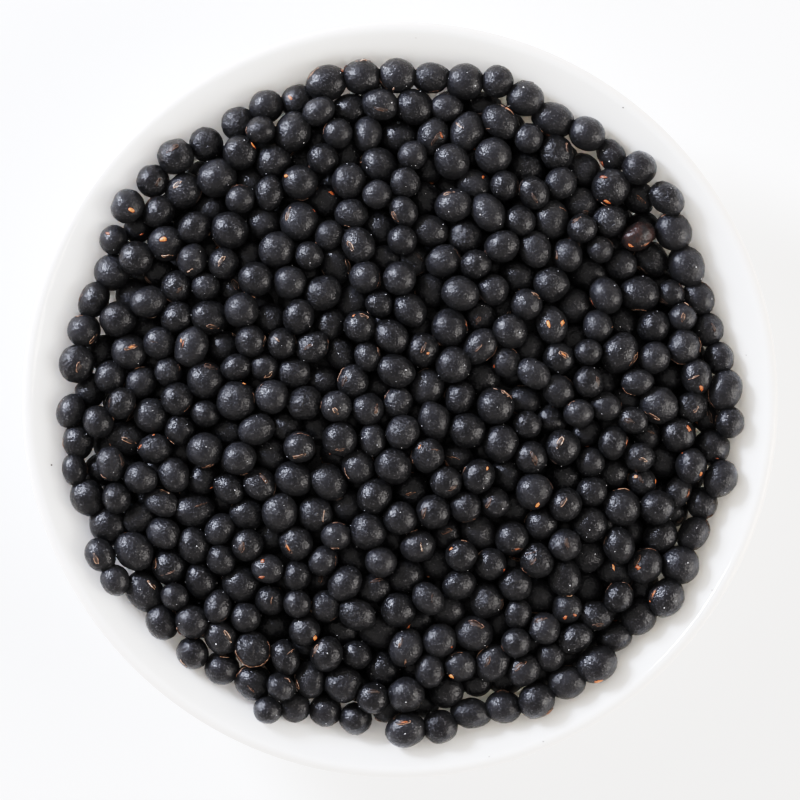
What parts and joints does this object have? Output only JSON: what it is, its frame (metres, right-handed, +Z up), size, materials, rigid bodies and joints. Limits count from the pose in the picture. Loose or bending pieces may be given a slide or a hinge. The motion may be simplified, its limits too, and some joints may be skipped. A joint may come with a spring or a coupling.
{
  "type": "bowl of dried beans",
  "caption": "Shallow round white porcelain bowl on a foot ring, heaped with small dried black beans in a low uneven mound.",
  "frame": {"origin": "centre of the foot ring's resting plane, which is the bottom centre of the bounding box", "axes": "+Z up along the bowl's axis; +Y is the top edge of the picture, +X its right edge"},
  "size_m": [0.18, 0.18, 0.041],
  "materials": {
    "porcelain": "smooth white glaze, glossy",
    "black_seed_coat": "satin near-black seed coat with a faint bloom, pale scars and small orange chips"
  },
  "bodies": {
    "root": {"bowl": "porcelain", "beans": "black_seed_coat"}
  },
  "joints": []
}
